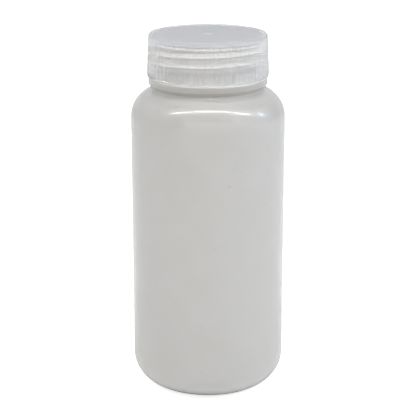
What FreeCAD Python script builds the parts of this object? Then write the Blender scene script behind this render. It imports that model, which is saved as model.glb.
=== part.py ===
# Wide-mouth reagent bottle: a blown bottle with a threaded neck, its ribbed screw cap
# and the sealing disc held in the cap. Millimetres, +Z up, origin at the centre of the foot.
import FreeCAD, Part
import Sketcher
import os

doc = FreeCAD.newDocument("ReagentBottle")

# Driving sizes. The aliases are read by every sketch and feature below.
sheet = doc.addObject("Spreadsheet::Sheet", "Sizes")
SIZES = {
    "overall_height": (165.0, "foot to top of cap"),
    "body_diameter": (70.0, "outside of the straight wall"),
    "wall": (1.5, "wall of body, shoulder and base"),
    "heel_radius": (14.0, "round from foot to wall"),
    "round_facets": (8, "flats that make the heel's or the shoulder's outside"),
    "hollow_facets": (3, "flats that make a round inside the bottle"),
    "dome_facets": (2, "flats that make the pushed-up base"),
    "foot_width": (1.5, "flat ring that the bottle stands on"),
    "push_up": (3.0, "rise of the base inside the foot"),
    "base_flat_diameter": (16.0, "flat middle of the pushed-up base"),
    "shoulder_radius": (13.8, "round from wall to neck"),
    "neck_base_height": (1.2, "length of neck below the collar"),
    "neck_base_slope": (0.8, "slope between shoulder and neck"),
    "collar_inset": (0.6, "collar to the cap's outside, inwards"),
    "collar_overhang": (1.0, "how far the collar stands out from the neck"),
    "collar_height": (4.4, "collar with its chamfer"),
    "collar_chamfer": (1.0, "slope under the collar"),
    "neck_wall": (1.5, "wall of the neck under the thread"),
    "rim_chamfer": (0.4, "edges of the rim"),
    "thread_pitch": (4.4, "rise of one turn, right-hand"),
    "thread_height": (1.1, "ridge of either thread"),
    "thread_base": (2.0, "ridge width at its root"),
    "thread_crest": (0.9, "ridge width at its crest"),
    "thread_fit": (0.3, "gap between the threads, on faces and flanks"),
    "thread_sink": (0.4, "how deep a ridge starts inside its wall"),
    "neck_thread_turns": (2.4, "length of the neck thread"),
    "cap_thread_turns": (2.0, "length of the cap thread"),
    "cap_diameter": (55.0, "outside of the skirt at its lower edge"),
    "cap_draft": (0.7, "how far the skirt leans in up to the top"),
    "cap_wall": (1.3, "wall of the skirt at the top"),
    "cap_height": (19.0, "lower edge to top"),
    "cap_top_wall": (1.8, "thickness of the cap's top"),
    "cap_gap": (0.4, "skirt to collar"),
    "cap_edge_round": (0.8, "outer edge of the cap's top"),
    "cap_edge_facets": (2, "flats that make this round"),
    "cap_lead_in": (0.8, "slope inside the skirt's mouth"),
    "top_recess": (0.25, "depth of the panel in the top"),
    "top_rim_width": (2.4, "flat ring round that panel"),
    "gate_diameter": (4.6, "moulding mark in the middle of the top"),
    "rib_count": (72, "ribs round the skirt"),
    "groove_width": (1.0, "gap between two ribs"),
    "groove_depth": (0.35, "height of a rib"),
    "plain_band_top": (2.2, "smooth band above the ribs"),
    "plain_band_foot": (0.9, "smooth band below the ribs"),
    "disc_thickness": (1.0, "sealing disc"),
    "disc_play": (0.35, "disc to the inside of the cap"),
    "bead_height": (0.8, "bead that keeps the disc in the cap"),
    "bead_grip": (0.4, "how far the bead reaches under the disc"),
    "bead_play": (0.15, "bead to disc"),
}
for row, (alias, (value, note)) in enumerate(SIZES.items(), start=1):
    sheet.set(f"A{row}", note)
    sheet.set(f"B{row}", str(value))
    sheet.setAlias(f"B{row}", alias)
doc.recompute()


def size(alias):
    return f"Sizes.{alias}"


def worth(formula):
    """The number that a formula of sheet sizes gives now."""
    found = sheet.evalExpression(formula)
    return float(getattr(found, "Value", found))


# Places that several pieces share, each a formula of the sizes above
BODY_R = f"({size('body_diameter')} / 2)"
FOOT_R = f"({BODY_R} - {size('heel_radius')})"
CAP_R = f"({size('cap_diameter')} / 2)"
CAP_TOP_R = f"({CAP_R} - {size('cap_draft')})"
CAP_BORE_R = f"({CAP_TOP_R} - {size('cap_wall')})"
NECK_CREST_R = f"({CAP_BORE_R} - {size('thread_fit')})"
NECK_R = f"({NECK_CREST_R} - {size('thread_height')})"
BORE_R = f"({NECK_R} - {size('neck_wall')})"
COLLAR_R = f"({CAP_R} - {size('collar_inset')})"
NECK_BASE_R = f"({COLLAR_R} - {size('collar_overhang')})"
DISC_R = f"({CAP_BORE_R} - {size('disc_play')})"
CAP_FOOT_Z = f"({size('overall_height')} - {size('cap_height')})"
CEILING_Z = f"({size('overall_height')} - {size('cap_top_wall')})"
RIM_Z = f"({CEILING_Z} - {size('disc_thickness')})"
COLLAR_TOP_Z = f"({CAP_FOOT_Z} - {size('cap_gap')})"
COLLAR_LOW_Z = f"({COLLAR_TOP_Z} - {size('collar_height')})"
SHOULDER_TOP_Z = f"({COLLAR_LOW_Z} - {size('neck_base_height')})"
SHOULDER_CENTRE_R = f"({BODY_R} - {size('shoulder_radius')})"
SHOULDER_Z = (
    f"({SHOULDER_TOP_Z} - sqrt({size('shoulder_radius')} ^ 2"
    f" - ({NECK_BASE_R} - {SHOULDER_CENTRE_R}) ^ 2))"
)
BEAD_TOP = f"({size('disc_thickness')} + {size('bead_play')})"
BEAD_FOOT = f"({BEAD_TOP} + {size('bead_height')})"
# The neck thread's last turn ends just under the bead that holds the disc in the cap
NECK_THREAD_Z = (
    f"({CEILING_Z} - {BEAD_FOOT} - {size('thread_fit')} - {size('thread_base')}"
    f" - {size('neck_thread_turns')} * {size('thread_pitch')})"
)


def plane_of(body, role):
    """One of the body's own origin planes."""
    return next(item for item in body.Origin.OriginFeatures if item.Role == role)


def new_body(label):
    body = doc.addObject("PartDesign::Body", label)
    body.Label = label
    return body


def outline(body, name, corners, role="XZ_Plane"):
    """A closed sketch through corners (across, up), each bound to its two formulas."""
    sketch = body.newObject("Sketcher::SketchObject", name)
    sketch.AttachmentSupport = (plane_of(body, role), [""])
    sketch.MapMode = "FlatFace"
    places = [FreeCAD.Vector(worth(across), worth(up), 0) for across, up in corners]
    for index, place in enumerate(places):
        sketch.addGeometry(Part.LineSegment(places[index - 1], place), False)
    for index, (across, up) in enumerate(corners):
        after = (index + 1) % len(corners)
        sketch.addConstraint(Sketcher.Constraint("Coincident", index, 2, after, 1))
        for word, formula, axis in (("DistanceX", across, -2), ("DistanceY", up, -1)):
            if abs(worth(formula)) < 1e-9:
                sketch.addConstraint(Sketcher.Constraint("PointOnObject", index, 2, axis))
                continue
            at = sketch.addConstraint(
                Sketcher.Constraint(word, -1, 1, index, 2, worth(formula))
            )
            sketch.setExpression(f"Constraints[{at}]", formula)
    return sketch


def bend(centre, radius, start, end, facets):
    """Corners along a round, from one angle to another, on the arc itself."""
    corners = []
    steps = int(worth(facets))
    for step in range(steps + 1):
        angle = f"({start} + ({end} - ({start})) * {step} / {steps})"
        across = f"({centre[0]} + {radius} * cos({angle}))"
        corners.append((across, f"({centre[1]} + {radius} * sin({angle}))"))
    return corners


def turned(body, name, corners, cut=False):
    """Revolve a half section about the bottle's axis, as material or as a hollow."""
    sketch = outline(body, name + "_section", corners)
    kind = "PartDesign::Groove" if cut else "PartDesign::Revolution"
    feature = body.newObject(kind, name)
    feature.Profile = sketch
    feature.ReferenceAxis = (sketch, ["V_Axis"])
    feature.Angle = 360
    doc.recompute()
    return feature


def ridge(body, name, corners, turns):
    """A right-hand thread ridge, wound upwards from its own section."""
    sketch = outline(body, name + "_section", corners)
    helix = body.newObject("PartDesign::AdditiveHelix", name)
    helix.Profile = sketch
    helix.ReferenceAxis = (sketch, ["V_Axis"])
    helix.Mode = "pitch-turns-angle"
    helix.setExpression("Pitch", size("thread_pitch"))
    helix.setExpression("Turns", turns)
    helix.LeftHanded = False
    doc.recompute()
    return helix


def thread_section(root_r, crest_r, sunk_r, low_z):
    """Half section of a ridge: its root sunk in one wall, its crest towards the other."""
    slope = f"(({size('thread_base')} - {size('thread_crest')}) / 2)"
    return [
        (sunk_r, low_z),
        (root_r, low_z),
        (crest_r, f"{low_z} + {slope}"),
        (crest_r, f"{low_z} + {slope} + {size('thread_crest')}"),
        (root_r, f"{low_z} + {size('thread_base')}"),
        (sunk_r, f"{low_z} + {size('thread_base')}"),
    ]


def make_bottle():
    """Blown bottle: pushed-up base, round heel and shoulder, collar, neck with its thread."""
    body = new_body("bottle")
    wall = size("wall")
    foot_inner_r = f"({FOOT_R} - {size('foot_width')})"
    base_flat_r = f"({size('base_flat_diameter')} / 2)"
    dome_r = (
        f"((({foot_inner_r} - {base_flat_r}) ^ 2 + {size('push_up')} ^ 2)"
        f" / (2 * {size('push_up')}))"
    )
    dome_centre = (base_flat_r, f"({size('push_up')} - {dome_r})")
    dome_edge = f"acos(({foot_inner_r} - {base_flat_r}) / {dome_r})"
    heel_centre = (FOOT_R, size("heel_radius"))
    shoulder_centre = (SHOULDER_CENTRE_R, SHOULDER_Z)
    slope_r = f"({NECK_BASE_R} + {size('neck_base_slope')})"
    shoulder_end = f"acos(({slope_r} - {SHOULDER_CENTRE_R}) / {size('shoulder_radius')})"
    quarter = "90 deg"
    turned(
        body,
        "bottle_form",
        [("0", size("push_up"))]
        + bend(dome_centre, dome_r, quarter, dome_edge, size("dome_facets"))
        + bend(heel_centre, size("heel_radius"), "-90 deg", "0 deg", size("round_facets"))
        + bend(
            shoulder_centre,
            size("shoulder_radius"),
            "0 deg",
            shoulder_end,
            size("round_facets"),
        )
        + [
            (NECK_BASE_R, f"{SHOULDER_TOP_Z} + {size('neck_base_slope')} / 2"),
            (NECK_BASE_R, COLLAR_LOW_Z),
            (COLLAR_R, f"{COLLAR_LOW_Z} + {size('collar_chamfer')}"),
            (COLLAR_R, COLLAR_TOP_Z),
            (NECK_R, COLLAR_TOP_Z),
            (NECK_R, f"{RIM_Z} - {size('rim_chamfer')}"),
            (f"{NECK_R} - {size('rim_chamfer')}", RIM_Z),
            ("0", RIM_Z),
        ],
    )
    inner_neck_r = f"({NECK_BASE_R} - {wall})"
    inner_dome_r = f"({dome_r} + {wall})"
    inner_dome_edge = f"asin(({dome_r} - {size('push_up')} + {wall}) / {inner_dome_r})"
    inner_heel_r = f"({size('heel_radius')} - {wall})"
    inner_shoulder_r = f"({size('shoulder_radius')} - {wall})"
    inner_shoulder_end = f"acos(({inner_neck_r} - {SHOULDER_CENTRE_R}) / {inner_shoulder_r})"
    turned(
        body,
        "bottle_hollow",
        [("0", f"{size('push_up')} + {wall}")]
        + bend(dome_centre, inner_dome_r, quarter, inner_dome_edge, size("dome_facets"))
        + bend(heel_centre, inner_heel_r, "-90 deg", "0 deg", size("hollow_facets"))
        + bend(
            shoulder_centre,
            inner_shoulder_r,
            "0 deg",
            inner_shoulder_end,
            size("hollow_facets"),
        )
        + [
            (inner_neck_r, COLLAR_LOW_Z),
            (BORE_R, COLLAR_TOP_Z),
            (BORE_R, f"{RIM_Z} - {size('rim_chamfer')}"),
            (f"{BORE_R} + {size('rim_chamfer')}", RIM_Z),
            ("0", RIM_Z),
        ],
        cut=True,
    )
    sunk_r = f"{NECK_R} - {size('thread_sink')}"
    ridge(
        body,
        "neck_thread",
        thread_section(NECK_R, NECK_CREST_R, sunk_r, NECK_THREAD_Z),
        size("neck_thread_turns"),
    )
    return body


def make_cap():
    """Screw cap, drawn from its own lower edge: top, drafted skirt, bead, thread, ribs."""
    body = new_body("screw_cap")
    top = size("cap_height")
    ceiling = f"({top} - {size('cap_top_wall')})"
    panel_r = f"({CAP_TOP_R} - {size('top_rim_width')})"
    gate_r = f"({size('gate_diameter')} / 2)"
    panel_z = f"({top} - {size('top_recess')})"
    bead_r = f"({DISC_R} - {size('bead_grip')})"
    edge = size("cap_edge_round")
    edge_centre = (f"({CAP_TOP_R} - {edge})", f"({top} - {edge})")
    turned(
        body,
        "cap_form",
        [
            ("0", ceiling),
            ("0", top),
            (f"{gate_r} - {size('top_recess')}", top),
            (gate_r, panel_z),
            (panel_r, panel_z),
            (f"{panel_r} + {size('top_recess')}", top),
        ]
        + bend(edge_centre, edge, "90 deg", "0 deg", size("cap_edge_facets"))
        + [
            (CAP_R, "0"),
            (f"{CAP_BORE_R} + {size('cap_lead_in')}", "0"),
            (CAP_BORE_R, size("cap_lead_in")),
            (CAP_BORE_R, f"{ceiling} - {BEAD_FOOT}"),
            (bead_r, f"{ceiling} - {BEAD_TOP} - {size('bead_height')} / 2"),
            (CAP_BORE_R, f"{ceiling} - {BEAD_TOP}"),
            (CAP_BORE_R, ceiling),
        ],
    )
    # In one plane the cap's ridge lies under the neck's ridge, one fit away from its flank
    lean = f"(({size('thread_base')} - {size('thread_crest')}) / (2 * {size('thread_height')}))"
    reach = f"({size('thread_height')} + {size('thread_fit')})"
    drop = f"({size('thread_base')} - {lean} * {reach} + {size('thread_fit')})"
    crest_r = f"{CAP_BORE_R} - {size('thread_height')}"
    sunk_r = f"{CAP_BORE_R} + {size('thread_sink')}"
    low_z = f"({NECK_THREAD_Z} + {size('thread_pitch')} - {drop} - {CAP_FOOT_Z})"
    ridge(
        body,
        "cap_thread",
        thread_section(CAP_BORE_R, crest_r, sunk_r, low_z),
        size("cap_thread_turns"),
    )
    # One groove, cut along the drafted skirt, then repeated round the cap
    lean_in = f"({size('cap_draft')} / ({top} - {edge}))"
    foot = size("plain_band_foot")
    head = f"({top} - {size('plain_band_top')})"
    depth = size("groove_depth")
    section = outline(
        body,
        "groove_section",
        [
            (f"{CAP_R} + {depth}", foot),
            (f"{CAP_R} + {depth}", head),
            (f"{CAP_R} - {lean_in} * {head}", head),
            (f"{CAP_R} - {lean_in} * {head} - {depth}", f"{head} - {depth}"),
            (f"{CAP_R} - {lean_in} * {foot} - {depth}", f"{foot} + {depth}"),
            (f"{CAP_R} - {lean_in} * {foot}", foot),
        ],
    )
    groove = body.newObject("PartDesign::Pocket", "groove")
    groove.Profile = section
    groove.Type = "Length"
    groove.Midplane = True
    groove.setExpression("Length", size("groove_width"))
    doc.recompute()
    grooves = body.newObject("PartDesign::PolarPattern", "grooves")
    grooves.Originals = [groove]
    grooves.Axis = (section, ["V_Axis"])
    grooves.Angle = 360
    grooves.setExpression("Occurrences", size("rib_count"))
    body.Tip = grooves
    body.setExpression("Placement.Base.z", CAP_FOOT_Z)
    doc.recompute()
    return body


def make_disc():
    """Sealing disc: lies on the rim, under the cap's top."""
    body = new_body("sealing_disc")
    sketch = body.newObject("Sketcher::SketchObject", "disc_outline")
    sketch.AttachmentSupport = (plane_of(body, "XY_Plane"), [""])
    sketch.MapMode = "FlatFace"
    up = FreeCAD.Vector(0, 0, 1)
    sketch.addGeometry(Part.Circle(FreeCAD.Vector(0, 0, 0), up, worth(DISC_R)), False)
    sketch.addConstraint(Sketcher.Constraint("Coincident", 0, 3, -1, 1))
    at = sketch.addConstraint(Sketcher.Constraint("Radius", 0, worth(DISC_R)))
    sketch.setExpression(f"Constraints[{at}]", DISC_R)
    disc = body.newObject("PartDesign::Pad", "disc")
    disc.Profile = sketch
    disc.setExpression("Length", size("disc_thickness"))
    body.setExpression("Placement.Base.z", RIM_Z)
    doc.recompute()
    return body


pieces = [make_bottle(), make_cap(), make_disc()]
doc.recompute()

# Every feature and every piece has to be sound before anything is written
for item in doc.Objects:
    if "Invalid" in item.State or "Error" in item.State:
        raise RuntimeError(f"{item.Name} failed: {item.State}")
os.makedirs("parts", exist_ok=True)
for piece in pieces:
    shape = piece.Shape
    if shape.isNull() or not shape.isValid() or len(shape.Solids) != 1:
        raise RuntimeError(f"{piece.Label} is not one sound solid")
for piece in pieces:
    piece.Shape.exportStep(f"parts/{piece.Label}.step")
    print(piece.Label, "volume in mm3:", round(piece.Shape.Volume, 1))
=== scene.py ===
from math import atan2, cos, degrees, hypot, pi, radians, sin, sqrt, tan

import bpy
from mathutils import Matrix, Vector


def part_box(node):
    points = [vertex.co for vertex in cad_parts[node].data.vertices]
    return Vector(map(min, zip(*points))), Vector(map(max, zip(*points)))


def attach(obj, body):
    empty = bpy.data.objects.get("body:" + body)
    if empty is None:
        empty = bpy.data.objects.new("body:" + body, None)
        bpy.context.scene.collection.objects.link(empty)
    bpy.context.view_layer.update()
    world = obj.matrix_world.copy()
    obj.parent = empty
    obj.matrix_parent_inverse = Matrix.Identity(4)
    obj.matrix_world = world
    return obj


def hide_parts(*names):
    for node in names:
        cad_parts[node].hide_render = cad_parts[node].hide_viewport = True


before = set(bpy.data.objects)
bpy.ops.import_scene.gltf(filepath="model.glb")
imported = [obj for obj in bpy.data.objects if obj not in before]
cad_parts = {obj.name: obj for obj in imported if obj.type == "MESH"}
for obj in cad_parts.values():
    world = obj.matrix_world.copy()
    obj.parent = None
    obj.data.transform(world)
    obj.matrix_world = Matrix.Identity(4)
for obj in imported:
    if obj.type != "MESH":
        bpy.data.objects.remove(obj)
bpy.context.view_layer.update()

mm = 0.001

# The bottle, blown in one piece from natural high-density polyethylene: milky, translucent,
# with a soft gloss. Its neck is moulded thick, with a collar under the thread; the base is
# pushed up inside a narrow foot ring, as the mould leaves it.
rim_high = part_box("bottle")[1]
body_radius = rim_high.x
rim_height = rim_high.z
wall = 1.5 * mm
heel_radius = 14 * mm
foot_radius = body_radius - heel_radius
foot_width = 1.5 * mm
push_up = 3 * mm
base_flat = 8 * mm
pole_radius = 1 * mm
shoulder_radius = 13.8 * mm
neck_base_radius = 25.9 * mm
neck_hollow = 0.8 * mm
neck_step = 0.2 * mm
collar_radius = 26.9 * mm
collar_height = 4.4 * mm
collar_slope = 1.6 * mm
collar_round = 0.8 * mm
neck_root = 24.1 * mm
bore_radius = 22.6 * mm
edge = 0.4 * mm
points_round = 192
smooth_below = 35
thread_pitch = 4.4 * mm
thread_depth = 1.1 * mm
thread_width = 2 * mm
neck_thread_turns = 2.6
neck_thread_fade = 8
neck_thread_foot = rim_height - 2.25 * mm - neck_thread_turns * thread_pitch
cap_low, cap_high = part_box("screw_cap")
collar_top = cap_low.z - 0.4 * mm
collar_low = collar_top - collar_height
shoulder_top = collar_low - 1.2 * mm


def bend(centre, radius, start, end, steps):
    """Rings along a round stretch: (radius, height) pairs, angles in degrees."""
    turn = [radians(start + (end - start) * step / steps) for step in range(steps + 1)]
    return [(centre[0] + radius * cos(a), centre[1] + radius * sin(a)) for a in turn]


def ring_form(name, rings, count):
    """A closed round form: one ring is added, then extruded from ring to ring, and both
    ends are drawn together at the axis. Nothing is left selected."""
    bpy.ops.object.select_all(action="DESELECT")
    radius, height = rings[0]
    bpy.ops.mesh.primitive_circle_add(vertices=count, radius=radius, location=(0, 0, height))
    form = bpy.context.object
    form.name = name
    bpy.ops.object.transform_apply(location=True, rotation=True, scale=True)
    bpy.ops.object.mode_set(mode="EDIT")
    bpy.ops.mesh.select_all(action="SELECT")
    for next_radius, next_height in rings[1:]:
        rise = (0, 0, next_height - height)
        bpy.ops.mesh.extrude_region_move(TRANSFORM_OT_translate={"value": rise})
        scale = next_radius / radius
        bpy.ops.transform.resize(value=(scale, scale, 1), center_override=(0, 0, next_height))
        radius, height = next_radius, next_height
    bpy.ops.mesh.edge_face_add()
    bpy.ops.mesh.poke()
    bpy.ops.mesh.select_all(action="DESELECT")
    bpy.ops.mesh.select_mode(type="EDGE")
    bpy.ops.mesh.select_non_manifold(extend=False)
    bpy.ops.mesh.edge_face_add()
    bpy.ops.mesh.poke()
    bpy.ops.mesh.select_mode(type="VERT")
    bpy.ops.mesh.select_all(action="SELECT")
    bpy.ops.mesh.normals_make_consistent(inside=False)
    bpy.ops.mesh.select_all(action="DESELECT")
    bpy.ops.object.mode_set(mode="OBJECT")
    return form


def thread_ridge(name, root, height, turns, fade):
    """A rounded thread ridge: one oval section, wound up the axis. Over the first and last
    steps it shrinks into the wall, as a run-out does."""
    section_points = 16
    steps = 72
    sections = int(steps * turns)
    end_share = 0.15
    bpy.ops.object.select_all(action="DESELECT")
    bpy.ops.mesh.primitive_circle_add(
        vertices=section_points,
        radius=thread_width / 2,
        location=(root, 0, height),
        rotation=(pi / 2, 0, 0),
    )
    ridge = bpy.context.object
    ridge.name = name
    ridge.scale = (2 * thread_depth / thread_width, 1, 1)
    bpy.ops.object.transform_apply(location=True, rotation=True, scale=True)
    screw = ridge.modifiers.new("wind", "SCREW")
    screw.angle = turns * 2 * pi
    screw.screw_offset = turns * thread_pitch
    screw.steps = screw.render_steps = sections
    screw.use_merge_vertices = False
    bpy.ops.object.modifier_apply(modifier="wind")
    bpy.ops.object.mode_set(mode="EDIT")
    for end in (0, 1):
        for step in range(fade):
            along = sections - step if end else step
            angle = 2 * pi * along / steps
            middle = (root * cos(angle), root * sin(angle), height + thread_pitch * along / steps)
            bpy.ops.mesh.select_all(action="DESELECT")
            bpy.ops.object.mode_set(mode="OBJECT")
            for point in ridge.data.vertices:
                near = hypot(point.co.x, point.co.y) - root
                turned = atan2(point.co.y, point.co.x) - angle
                turned = (turned + pi) % (2 * pi) - pi
                close = abs(turned) < pi / steps and abs(near) < thread_width
                point.select = close and abs(point.co.z - middle[2]) < thread_width * 0.6
            bpy.ops.object.mode_set(mode="EDIT")
            keep = end_share + (1 - end_share) * sin(pi / 2 * step / fade)
            bpy.ops.transform.resize(value=(keep, keep, keep), center_override=middle)
    bpy.ops.mesh.select_all(action="DESELECT")
    bpy.ops.mesh.select_mode(type="EDGE")
    bpy.ops.mesh.select_non_manifold(extend=False)
    bpy.ops.mesh.edge_face_add()
    bpy.ops.mesh.select_mode(type="VERT")
    bpy.ops.mesh.select_all(action="SELECT")
    bpy.ops.mesh.normals_make_consistent(inside=False)
    bpy.ops.object.mode_set(mode="OBJECT")
    return ridge


def weld(form, addition):
    """Make one skin of a form and what stands on it."""
    join = form.modifiers.new("weld", "BOOLEAN")
    join.operation = "UNION"
    join.solver = "EXACT"
    join.object = addition
    bpy.ops.object.select_all(action="DESELECT")
    form.select_set(True)
    bpy.context.view_layer.objects.active = form
    bpy.ops.object.modifier_apply(modifier="weld")
    bpy.data.objects.remove(addition)


def smooth(form, angle):
    """Shade a form smooth, but for edges sharper than an angle in degrees."""
    bpy.ops.object.select_all(action="DESELECT")
    form.select_set(True)
    bpy.context.view_layer.objects.active = form
    bpy.ops.object.shade_smooth_by_angle(angle=radians(angle))


# Where the pushed-up dome meets the foot ring, and the shoulder meets the neck's foot
dome_radius = ((foot_radius - foot_width - base_flat) ** 2 + push_up**2) / (2 * push_up)
dome_angle = degrees(atan2(dome_radius - push_up, foot_radius - foot_width - base_flat))
shoulder_centre_r = body_radius - shoulder_radius
shoulder_drop = sqrt(shoulder_radius**2 - (neck_base_radius - shoulder_centre_r) ** 2)
shoulder_low = shoulder_top - shoulder_drop
hollow_r = neck_base_radius + neck_hollow
hollow_rise = sqrt((shoulder_radius + neck_hollow) ** 2 - (hollow_r - shoulder_centre_r) ** 2)
hollow_angle = degrees(atan2(hollow_rise, hollow_r - shoulder_centre_r))
inner_neck = neck_base_radius - wall
inner_rise = sqrt((shoulder_radius - wall) ** 2 - (inner_neck - shoulder_centre_r) ** 2)
inner_angle = degrees(atan2(inner_rise, inner_neck - shoulder_centre_r))
outside = (
    [(pole_radius, push_up)]
    + bend((base_flat, push_up - dome_radius), dome_radius, 90, dome_angle, 8)
    + bend((foot_radius, heel_radius), heel_radius, -90, 0, 20)
    + bend((shoulder_centre_r, shoulder_low), shoulder_radius, 0, hollow_angle, 20)
    + bend((hollow_r, shoulder_low + hollow_rise), neck_hollow, hollow_angle + 180, 180, 6)[1:]
    + [(neck_base_radius, collar_low - neck_step)]
    + bend((collar_radius - edge, collar_low + collar_slope), edge, -50, 0, 3)
    + bend((collar_radius - collar_round, collar_top - collar_round), collar_round, 0, 90, 6)
    + bend((neck_root + edge, collar_top + edge), edge, 270, 180, 4)
    + bend((neck_root - edge, rim_height - edge), edge, 0, 90, 5)
)
inside = (
    bend((bore_radius + edge, rim_height - edge), edge, 90, 180, 5)
    + [(bore_radius, collar_top)]
    + [(inner_neck, collar_low)]
    + bend((shoulder_centre_r, shoulder_low), shoulder_radius - wall, inner_angle, 0, 16)
    + bend((foot_radius, heel_radius), heel_radius - wall, 0, -90, 16)
    + bend((base_flat, push_up - dome_radius), dome_radius + wall, dome_angle + 3, 90, 6)
    + [(pole_radius, push_up + wall)]
)
bottle = ring_form("blown_bottle", outside + inside, points_round)
neck_ridge = thread_ridge(
    "neck_ridge", neck_root, neck_thread_foot, neck_thread_turns, neck_thread_fade
)
weld(bottle, neck_ridge)
smooth(bottle, smooth_below)


def linear(code):
    """An sRGB hex colour as the linear colour that a shader wants."""
    parts = [int(code[i : i + 2], 16) / 255 for i in (1, 3, 5)]
    return [c / 12.92 if c <= 0.04045 else ((c + 0.055) / 1.055) ** 2.4 for c in parts] + [1]


def add(tree, kind, settings, links=()):
    """A shader node with its settings, socket values by name, and links into it."""
    made = tree.nodes.new(kind)
    for key, value in settings.items():
        if key in made.inputs:
            made.inputs[key].default_value = value
        else:
            setattr(made, key, value)
    for socket, source in links:
        tree.links.new(source, made.inputs[socket])
    return made


def moulded_plastic(name, colours, clear, gloss, bump, depth, coat, milk=0.0, lit_through=0.0):
    """Natural polyolefin: light gets into the wall and comes out near by, and part of it
    goes through. Thickness varies in soft clouds. The fine mould grain is drawn some ten
    times as coarse as it is, so that it shows. lit_through is the share of a lamp's light
    that reaches what lies behind the wall."""
    cloud_size = 18 * mm
    grain_size = 0.9 * mm
    grain_height = 0.05 * mm
    material = bpy.data.materials.new(name)
    material.use_nodes = True
    tree = material.node_tree
    tree.nodes.clear()
    place = add(tree, "ShaderNodeTexCoord", {})
    clouds = add(
        tree,
        "ShaderNodeTexNoise",
        {"Scale": 1 / cloud_size, "Detail": 3.0, "Roughness": 0.5},
        [("Vector", place.outputs["Object"])],
    )
    grain = add(
        tree,
        "ShaderNodeTexNoise",
        {"Scale": 1 / grain_size, "Detail": 2.0},
        [("Vector", place.outputs["Object"])],
    )
    tint = add(
        tree,
        "ShaderNodeMix",
        {"data_type": "RGBA", "A": linear(colours[0]), "B": linear(colours[1])},
        [("Factor", clouds.outputs["Fac"])],
    )
    rough = add(
        tree,
        "ShaderNodeMapRange",
        {"To Min": gloss[0], "To Max": gloss[1]},
        [("Value", grain.outputs["Fac"])],
    )
    skin = add(
        tree,
        "ShaderNodeBump",
        {"Strength": bump, "Distance": grain_height},
        [("Height", grain.outputs["Fac"])],
    )
    shader = add(
        tree,
        "ShaderNodeBsdfPrincipled",
        {
            "IOR": 1.51,
            "Transmission Weight": clear,
            "Subsurface Weight": 1.0,
            "Subsurface Radius": (1.0, 1.0, 1.0),
            "Subsurface Scale": depth,
            "Coat Weight": coat[0],
            "Coat Roughness": coat[1],
        },
        [
            ("Base Color", tint.outputs["Result"]),
            ("Roughness", rough.outputs["Result"]),
            ("Normal", skin.outputs["Normal"]),
        ],
    )
    through = add(
        tree,
        "ShaderNodeBsdfTranslucent",
        {},
        [("Color", tint.outputs["Result"])],
    )
    both = add(
        tree,
        "ShaderNodeMixShader",
        {"Fac": milk},
        [(1, shader.outputs["BSDF"]), (2, through.outputs["BSDF"])],
    )
    rays = add(tree, "ShaderNodeLightPath", {})
    shaded = add(
        tree,
        "ShaderNodeMath",
        {"operation": "MULTIPLY"},
        [(0, rays.outputs["Is Shadow Ray"])],
    )
    shaded.inputs[1].default_value = lit_through
    open_way = add(tree, "ShaderNodeBsdfTransparent", {})
    whole = add(
        tree,
        "ShaderNodeMixShader",
        {},
        [("Fac", shaded.outputs[0]), (1, both.outputs["Shader"]), (2, open_way.outputs["BSDF"])],
    )
    add(tree, "ShaderNodeOutputMaterial", {}, [("Surface", whole.outputs["Shader"])])
    return material


# Natural polyethylene as it comes from the blow mould: milky, warm grey in its own shade,
# lit through by what is behind it
polyethylene = moulded_plastic(
    "natural_polyethylene_blown",
    colours=("#e0dfdd", "#d8d7d4"),
    clear=0.4,
    gloss=(0.25, 0.35),
    bump=0.05,
    depth=3 * mm,
    coat=(1.0, 0.05),
)
# The same plastic in the collar, three times as thick, in a darker copy: its darker colour is
# painted shade on the collar under the cap
collar_polyethylene_painted_shade = moulded_plastic(
    "natural_polyethylene_collar_painted_shade",
    colours=("#c2c0bc", "#bcbab6"),
    clear=0.3,
    gloss=(0.25, 0.35),
    bump=0.05,
    depth=3 * mm,
    coat=(1.0, 0.05),
)
bottle.data.materials.clear()
bottle.data.materials.append(polyethylene)
bottle.data.materials.append(collar_polyethylene_painted_shade)
# The collar's faces take the darker copy: painted shade
for face in bottle.data.polygons:
    face.material_index = int(collar_low < face.center.z < collar_top + edge)
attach(bottle, "bottle_body")
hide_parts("bottle")

# The sealing disc, punched from natural polyethylene sheet. It lies loose in the cap, above
# the bead, and is pressed between the rim and the cap's top.
disc_low, disc_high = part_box("sealing_disc")
disc_radius = disc_high.x
disc_edge = 0.15 * mm
disc = ring_form(
    "punched_disc",
    [(pole_radius, disc_low.z)]
    + bend((disc_radius - disc_edge, disc_low.z + disc_edge), disc_edge, -90, 0, 3)
    + bend((disc_radius - disc_edge, disc_high.z - disc_edge), disc_edge, 0, 90, 3)
    + [(pole_radius, disc_high.z)],
    points_round,
)
smooth(disc, smooth_below)
# Polyethylene sheet: the same milky plastic, rolled and matte. Its darker grey is painted shade:
# it darkens the cap's top seen through it
sheet_plastic_painted_shade = moulded_plastic(
    "natural_polyethylene_sheet_painted_shade",
    colours=("#c0c1c4", "#babbbe"),
    clear=0.3,
    gloss=(0.5, 0.6),
    bump=0.1,
    depth=2 * mm,
    coat=(0.0, 0.5),
)
disc.data.materials.clear()
disc.data.materials.append(sheet_plastic_painted_shade)
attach(disc, "disc_body")
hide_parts("sealing_disc")

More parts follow.
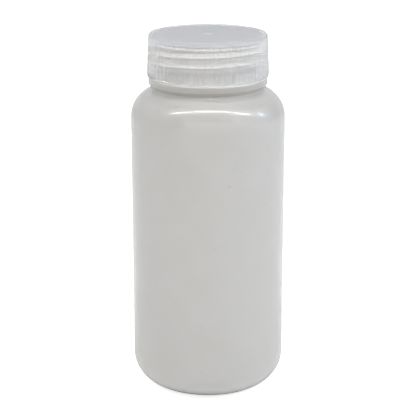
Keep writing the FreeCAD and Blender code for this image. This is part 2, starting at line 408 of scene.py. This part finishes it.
# The screw cap, injection-moulded in natural polypropylene: clearer and glossier than the
# bottle, so that its thread shows through. Fine grooves round the drafted skirt give grip,
# and a round mark in the middle of the top is where the plastic went in.
cap_foot = cap_low.z
cap_top = cap_high.z
cap_radius = cap_high.x
cap_top_radius = 26.8 * mm
cap_round = 1.1 * mm
top_wall = 1.8 * mm
recess = 0.35 * mm
panel_top = cap_top - recess
panel_radius = cap_top_radius - 2.4 * mm
gate_radius = 2.3 * mm
gate_rise = 0.15 * mm
gate_slope = 0.9 * mm
cap_pole_radius = 0.5 * mm
cap_bore = 25.5 * mm
lead_in = 0.8 * mm
ceiling = cap_top - top_wall
bead_radius = 24.75 * mm
bead_top = ceiling - 1.15 * mm
bead_foot = bead_top - 0.8 * mm
rib_count = 72
points_per_rib = 8
groove_depth = 0.17 * mm
groove_foot = cap_foot + 0.9 * mm
groove_top = cap_top - 2.2 * mm
cap_thread_turns = 2
cap_thread_fade = 6
cap_thread_foot = neck_thread_foot + thread_pitch - 1.6 * mm
draft = (cap_radius - cap_top_radius) / (cap_top - cap_foot)


def skirt(height):
    """The skirt's outside at a height: it widens towards its lower edge."""
    return (cap_radius - draft * (height - cap_foot), height)


cap = ring_form(
    "moulded_cap",
    [(cap_pole_radius, panel_top + gate_rise)]
    + [(gate_radius - gate_slope, panel_top + gate_rise), (gate_radius, panel_top)]
    + [(gate_radius + edge, panel_top)]
    + [(panel_radius, panel_top), (panel_radius + recess, cap_top)]
    + bend((cap_top_radius - cap_round, cap_top - cap_round), cap_round, 90, 0, 8)
    + [skirt(groove_top), skirt(groove_top - groove_depth)]
    + [skirt(groove_foot + groove_depth), skirt(groove_foot)]
    + bend((cap_radius - edge, cap_foot + edge), edge, 0, -90, 4)
    + [(cap_bore + lead_in, cap_foot), (cap_bore, cap_foot + lead_in)]
    + [(cap_bore, bead_foot), (bead_radius, (bead_foot + bead_top) / 2), (cap_bore, bead_top)]
    + [(cap_bore, ceiling), (cap_pole_radius, ceiling)],
    rib_count * points_per_rib,
)
# Three of the eight points of each rib go in, the middle one by the whole depth of a groove
groove_shape = {0: 0.4, 1: 1.0, 2: 0.4}
for place_in_rib, share in groove_shape.items():
    for point in cap.data.vertices:
        step = round(atan2(point.co.y, point.co.x) / (2 * pi) * rib_count * points_per_rib)
        out = hypot(point.co.x, point.co.y) > cap_top_radius - 0.2 * mm
        high = groove_foot + groove_depth / 2 < point.co.z < groove_top - groove_depth / 2
        point.select = out and high and step % points_per_rib == place_in_rib
    bpy.context.view_layer.objects.active = cap
    bpy.ops.object.mode_set(mode="EDIT")
    shrink = 1 - share * groove_depth / cap_radius
    bpy.ops.transform.resize(value=(shrink, shrink, 1), center_override=(0, 0, cap_foot))
    bpy.ops.mesh.select_all(action="DESELECT")
    bpy.ops.object.mode_set(mode="OBJECT")
weld(cap, thread_ridge("cap_ridge", cap_bore, cap_thread_foot, cap_thread_turns, cap_thread_fade))
smooth(cap, smooth_below)
# Natural polypropylene from a polished mould: bluish, see-through in thin places
polypropylene = moulded_plastic(
    "natural_polypropylene_moulded",
    colours=("#ffffff", "#fbfcfd"),
    clear=0.95,
    gloss=(0.20, 0.26),
    bump=0.02,
    depth=2 * mm,
    coat=(0.0, 0.08),
    milk=0.26,
    lit_through=0.75,
)
# The inner face of the same wall, smoother still: the milkiness is counted once, outside
inside_cap = moulded_plastic(
    "natural_polypropylene_inside",
    colours=("#ffffff", "#fbfcfd"),
    clear=1.0,
    gloss=(0.08, 0.12),
    bump=0.02,
    depth=2 * mm,
    coat=(0.0, 0.08),
    lit_through=0.85,
)
# The same plastic where the thread makes the wall thick: milkier and whiter, so that it shows as
# a bright band. This is partly the thick ridge's real milkiness and partly a painted highlight
# for the glints on the thread
thread_cap_painted_highlight = moulded_plastic(
    "natural_polypropylene_thread_painted_highlight",
    colours=("#fffefa", "#fffdf8"),
    clear=0.0,
    gloss=(0.2, 0.3),
    bump=0.02,
    depth=2 * mm,
    coat=(0.0, 0.08),
    milk=0.25,
    lit_through=0.55,
)
# The gate mark, where the plastic froze last: a little milkier than the panel round it, as a
# painted glint on the cap's top
gate_plastic_painted_glint = moulded_plastic(
    "natural_polypropylene_gate_painted_glint",
    colours=("#ffffff", "#fbfcfd"),
    clear=0.85,
    gloss=(0.20, 0.26),
    bump=0.02,
    depth=2 * mm,
    coat=(0.0, 0.08),
    milk=0.26,
    lit_through=0.75,
)
cap.data.materials.clear()
cap.data.materials.append(polypropylene)
cap.data.materials.append(inside_cap)
cap.data.materials.append(thread_cap_painted_highlight)
cap.data.materials.append(gate_plastic_painted_glint)
# Faces of the inner thread take the brighter copy, partly painted highlight; the gate's faces
# take the milkier copy, a painted glint
for face in cap.data.polygons:
    reach = [hypot(*cap.data.vertices[v].co.xy) for v in face.vertices]
    within = max(reach) < cap_bore + 0.5 * lead_in and face.center.z < ceiling + edge
    highlight_on_thread = min(reach) < cap_bore - 0.1 * mm and face.center.z < ceiling - edge
    glint_on_gate = max(reach) < gate_radius + edge / 2 and face.center.z > ceiling + edge
    face.material_index = 2 if highlight_on_thread else 3 if glint_on_gate else int(within)
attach(cap, "cap_body")
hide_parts("screw_cap")

# The studio: a pale paper floor that sweeps up into the background, wide soft lamps in front,
# at both sides and above, three ceiling tubes that the shoulder mirrors as a streak, a small
# window on the right, and a lens at the photograph's height and distance.
sweep_size = 4.0
sweep_height = 3
sweep_fold = 1.0
sweep_steps = 24
bpy.ops.object.select_all(action="DESELECT")
bpy.ops.mesh.primitive_plane_add(size=sweep_size, location=(0, 0, 0))
sweep = bpy.context.object
sweep.name = "floor_sweep"
bpy.ops.object.mode_set(mode="EDIT")
bpy.ops.mesh.select_all(action="DESELECT")
bpy.ops.object.mode_set(mode="OBJECT")
for line in sweep.data.edges:
    line.select = all(sweep.data.vertices[v].co.y > 0 for v in line.vertices)
for point in sweep.data.vertices:
    point.select = point.co.y > 0
bpy.ops.object.mode_set(mode="EDIT")
bpy.ops.mesh.extrude_region_move(TRANSFORM_OT_translate={"value": (0, 0, sweep_height)})
bpy.ops.object.mode_set(mode="OBJECT")
fold = sweep.modifiers.new("fold", "BEVEL")
fold.width = sweep_fold
fold.segments = sweep_steps
bpy.ops.object.modifier_apply(modifier="fold")
smooth(sweep, 60)
# White background paper. It glows a little where the lens sees it, as an overexposed
# backdrop does, and not where the plastic mirrors it
paper_glow = 0.7
paper = bpy.data.materials.new("white_backdrop_paper")
paper.use_nodes = True
seen = add(paper.node_tree, "ShaderNodeLightPath", {})
glow = add(
    paper.node_tree,
    "ShaderNodeMath",
    {"operation": "MULTIPLY"},
    [(0, seen.outputs["Is Camera Ray"])],
)
glow.inputs[1].default_value = paper_glow
paper_shader = paper.node_tree.nodes["Principled BSDF"]
paper_shader.inputs["Base Color"].default_value = linear("#f6f6f6")
paper_shader.inputs["Roughness"].default_value = 0.9
paper_shader.inputs["Emission Color"].default_value = linear("#ffffff")
paper.node_tree.links.new(glow.outputs[0], paper_shader.inputs["Emission Strength"])
sweep.data.materials.append(paper)


def soft_light(name, place, aim, size, watts, colour):
    """A rectangular lamp that shines from a place at an aim."""
    lamp = bpy.data.lights.new(name, "AREA")
    lamp.shape = "RECTANGLE"
    lamp.size, lamp.size_y = size
    lamp.energy = watts
    lamp.color = linear(colour)[:3]
    holder = bpy.data.objects.new(name, lamp)
    bpy.context.scene.collection.objects.link(holder)
    holder.location = place
    holder.rotation_euler = (Vector(aim) - Vector(place)).to_track_quat("-Z", "Y").to_euler()


middle = (0, 0, 0.08)
soft_light("front_wall", (0.1, -1.6, 0.15), middle, (2.4, 1.6), 9.5, "#fffcf6")
soft_light("left_wall", (-2.2, 0.4, 0.4), middle, (3.0, 3.0), 9.5, "#ffffff")
soft_light("right_wall", (1.9, -0.6, 0.8), middle, (2.4, 2.4), 10, "#f0f6ff")
soft_light("ceiling", (0, 0.2, 2.2), middle, (2.4, 2.4), 2, "#ffffff")
shoulder = (0, -0.03, 0.135)
tube_width = 0.03
watts_per_metre = 7
for across, length in ((-0.94, 1.0), (0.14, 1.0), (1.24, 0.88)):
    place = (across, -0.5, 1.35)
    under = (across, shoulder[1], shoulder[2])
    watts = watts_per_metre * length
    soft_light("ceiling_tube", place, under, (length, tube_width), watts, "#ffffff")
soft_light("window", (1.15, 0.05, 0.6), shoulder, (0.05, 0.3), 1.2, "#cfe0ff")
world = bpy.data.worlds.new("studio")
bpy.context.scene.world = world
world.use_nodes = True
world.node_tree.nodes["Background"].inputs["Color"].default_value = linear("#ffffff")
world.node_tree.nodes["Background"].inputs["Strength"].default_value = 0.39

# The lens stands 62 cm in front of the axis and sees the cap's top at 9.2 degrees. It is
# tilted down by 16.36 degrees, which brings the whole bottle into the frame
distance = 0.620
top_angle = radians(9.2)
tilt = radians(16.36)
image_side = 416
focal_pixels = 1395
lens = bpy.data.cameras.new("lens")
lens.sensor_width = 36
lens.lens = focal_pixels / image_side * lens.sensor_width
camera = bpy.data.objects.new("camera", lens)
bpy.context.scene.collection.objects.link(camera)
camera.location = (0, -distance, cap_top + distance * tan(top_angle))
camera.rotation_euler = (pi / 2 - tilt, 0, 0)
bpy.context.scene.camera = camera
bpy.context.scene.view_settings.view_transform = "Standard"
